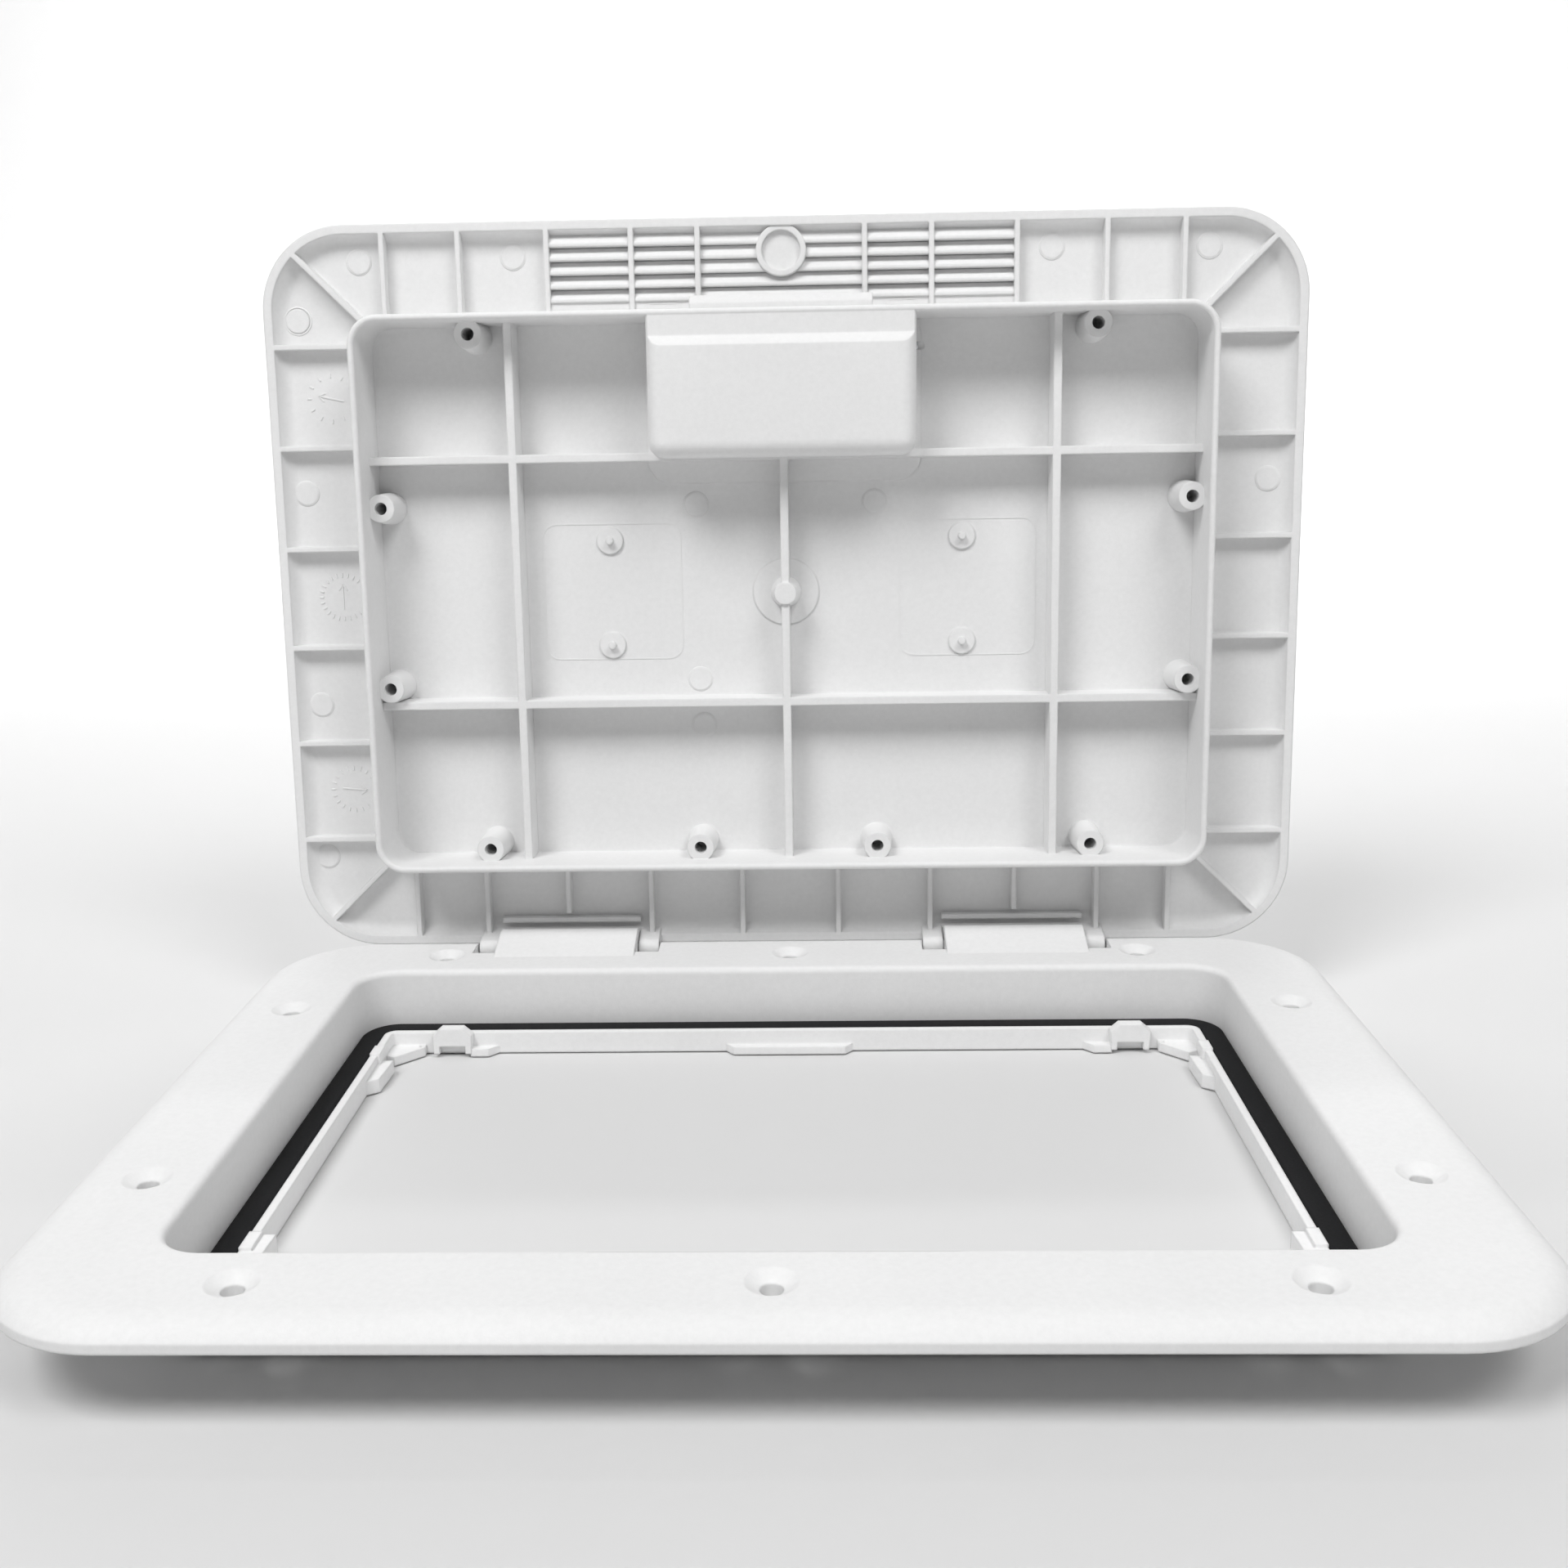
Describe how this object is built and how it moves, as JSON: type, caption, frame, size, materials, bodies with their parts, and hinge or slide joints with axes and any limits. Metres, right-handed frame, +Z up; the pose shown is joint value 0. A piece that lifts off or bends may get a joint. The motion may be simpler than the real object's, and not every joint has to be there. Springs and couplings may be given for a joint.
{
  "type": "deck hatch",
  "caption": "Deck hatch: flanged frame with a gasketed well, a rear-hinged lid with a ribbed tray underneath, and a flush lift-handle latch, shown open",
  "frame": {"origin": "middle of the four corner screws, on the plane of the deck that the flange lies on", "axes": "+X to the right across the hatch, +Y to the rear towards the hinge, +Z up out of the deck"},
  "size_m": [0.356, 0.2777, 0.2707],
  "materials": {
    "frame_plastic": "fine-textured white moulded plastic",
    "lid_plastic": "fine-textured white moulded plastic",
    "ring_plastic": "smooth white moulded plastic",
    "gasket_rubber": "matte black",
    "pin_steel": "stainless"
  },
  "bodies": {
    "frame": {"deck_frame": "frame_plastic", "retaining_ring": "ring_plastic", "gasket": "gasket_rubber"},
    "lid": {"lid_shell": "lid_plastic", "hinge_pin_left": "pin_steel", "hinge_pin_right": "pin_steel", "handle_pin": "pin_steel", "handle_spring": "pin_steel", "bolt_guide": "ring_plastic", "guide_screws": "pin_steel"},
    "handle": {"latch_handle": "lid_plastic"},
    "bolt": {"latch_bolt": "ring_plastic"}
  },
  "joints": [
    {"name": "lid_hinge", "type": "hinge", "parent": "frame", "child": "lid", "pos_m": [0, 0.1232, 0.00425], "axis": [1, 0, 0], "range_deg": [0, 93.6]},
    {"name": "handle_pivot", "type": "hinge", "parent": "lid", "child": "handle", "pos_m": [0, 0.14352, 0.20938], "axis": [1, 0, 0], "range_deg": [0, 20], "stiffness_Nm_per_rad": 0.35, "springref_deg": -11.46},
    {"name": "bolt_slide", "type": "slide", "parent": "lid", "child": "bolt", "axis": [0, -0.0628, -0.998], "range_m": [0, 0.005]}
  ],
  "couplings": [
    {"joint": "bolt_slide", "follows": "handle_pivot", "m_per_rad": 0.01432}
  ]
}
